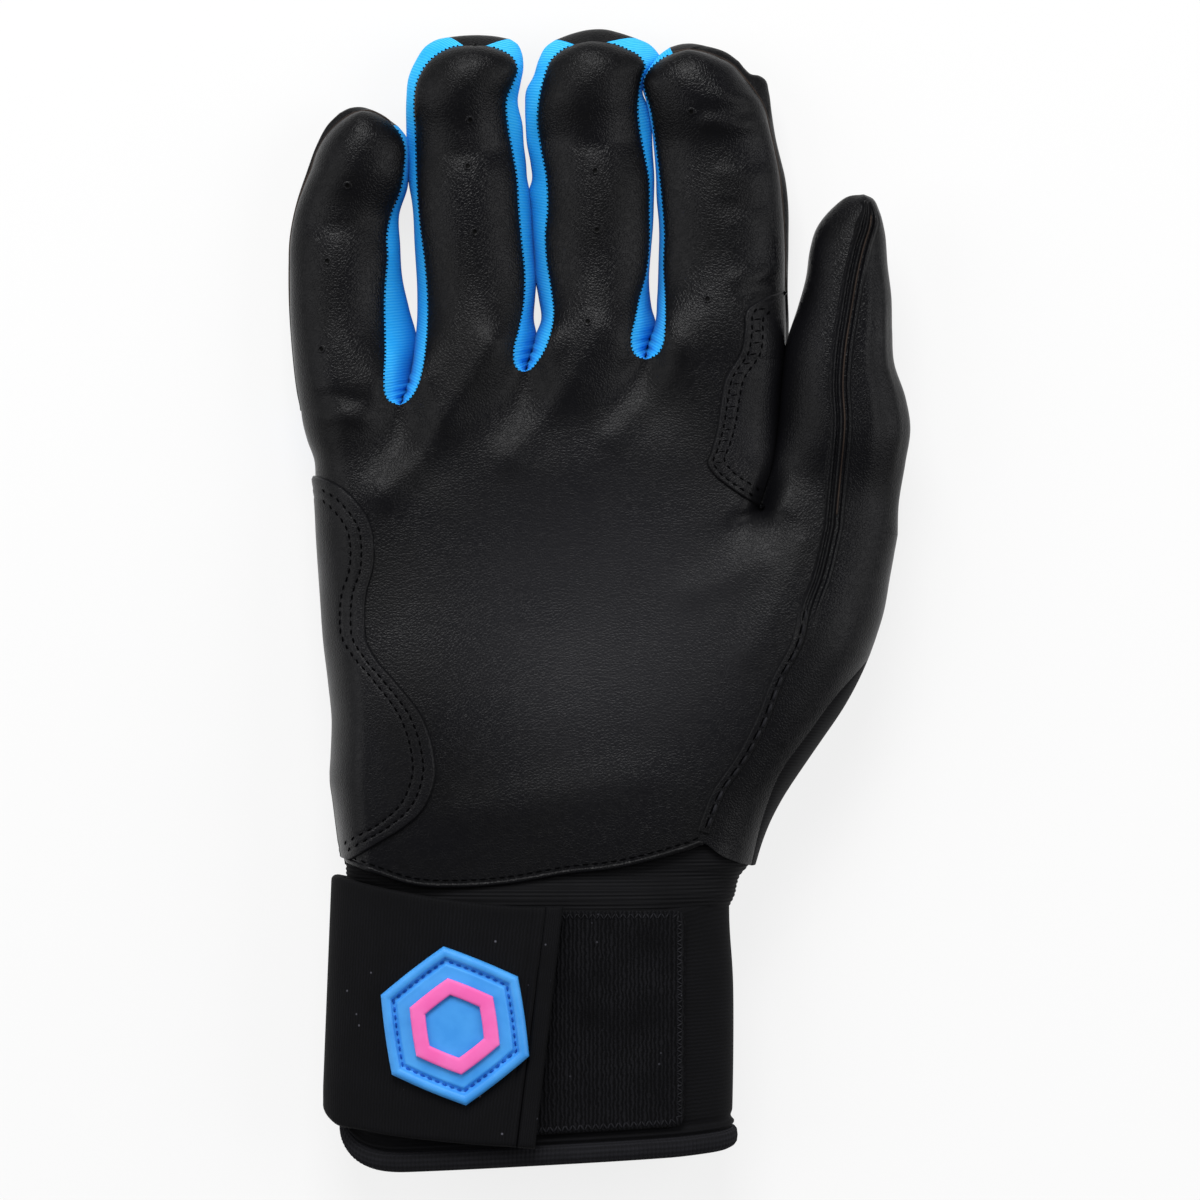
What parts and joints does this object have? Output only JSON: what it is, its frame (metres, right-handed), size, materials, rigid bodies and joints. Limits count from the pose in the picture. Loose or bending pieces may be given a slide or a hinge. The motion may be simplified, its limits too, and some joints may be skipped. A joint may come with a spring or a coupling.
{
  "type": "batting glove",
  "caption": "Right-hand batting glove with a leather palm, stretch gussets between the fingers, a welted thumb and a long cuff with a wide hook-and-loop strap; fingers, thumb and strap move.",
  "frame": {"origin": "middle of the glove's outline on the surface that it lies on, palm up", "axes": "+X to the thumb side, +Y to the fingertips, +Z out of the palm"},
  "size_m": [0.14, 0.258, 0.0421],
  "materials": {
    "leather": "fine-grained, soft sheen",
    "patch_leather": "fine-grained, matt",
    "back_leather": "synthetic, matt",
    "stretch_cloth": "ribbed stretch knit",
    "elastic_knit": "close knit, matt",
    "loop_pile": "brushed loops",
    "hook_tape": "fine hooks",
    "blue_rubber": "moulded, satin",
    "pink_rubber": "moulded, satin"
  },
  "bodies": {
    "hand": {"palm_panel": "leather", "back_panel": "back_leather", "knuckle_band": "stretch_cloth", "thumb_outer_base": "leather", "heel_patch": "patch_leather", "index_patch_palm": "patch_leather", "web_little_ring": "stretch_cloth", "web_ring_middle": "stretch_cloth", "web_middle_index": "stretch_cloth", "wrist_rib": "elastic_knit", "cuff_sleeve": "elastic_knit", "cuff_hem": "elastic_knit", "loop_pad": "loop_pile", "strap_wrap": "elastic_knit"},
    "little_finger": {"little_front": "leather", "little_back": "back_leather", "little_gusset_right": "stretch_cloth"},
    "ring_finger": {"ring_front": "leather", "ring_back": "back_leather", "ring_gusset_left": "stretch_cloth", "ring_gusset_right": "stretch_cloth"},
    "middle_finger": {"middle_front": "leather", "middle_back": "back_leather", "middle_gusset_left": "stretch_cloth", "middle_gusset_right": "stretch_cloth"},
    "index_finger": {"index_front": "leather", "index_back": "back_leather", "index_gusset_left": "stretch_cloth", "index_patch_finger": "patch_leather"},
    "thumb": {"thumb_front": "leather", "thumb_outer": "leather", "thumb_welt": "leather"},
    "strap": {"strap_flap": "elastic_knit", "strap_end_binding": "elastic_knit", "hook_pad": "hook_tape", "badge_base": "blue_rubber", "badge_emblem": "pink_rubber"}
  },
  "joints": [
    {"name": "little_bend", "type": "hinge", "parent": "hand", "child": "little_finger", "pos_m": [-0.0555, 0.042, 0.0231], "axis": [1, 0, 0], "range_deg": [0, 80]},
    {"name": "ring_bend", "type": "hinge", "parent": "hand", "child": "ring_finger", "pos_m": [-0.0305, 0.042, 0.0231], "axis": [1, 0, 0], "range_deg": [0, 80]},
    {"name": "middle_bend", "type": "hinge", "parent": "hand", "child": "middle_finger", "pos_m": [-0.003, 0.0515, 0.0225], "axis": [1, 0, 0], "range_deg": [0, 80]},
    {"name": "index_bend", "type": "hinge", "parent": "hand", "child": "index_finger", "pos_m": [0.0275, 0.0515, 0.0246], "axis": [1, 0, 0], "range_deg": [0, 80]},
    {"name": "thumb_bend", "type": "hinge", "parent": "hand", "child": "thumb", "pos_m": [0.0523, 0.01695, 0.0309], "axis": [0.9833, -0.1819, 0], "range_deg": [0, 45]},
    {"name": "strap_open", "type": "hinge", "parent": "hand", "child": "strap", "pos_m": [-0.0549, -0.09, 0.0292], "axis": [0, -1, 0], "range_deg": [0, 150]}
  ]
}
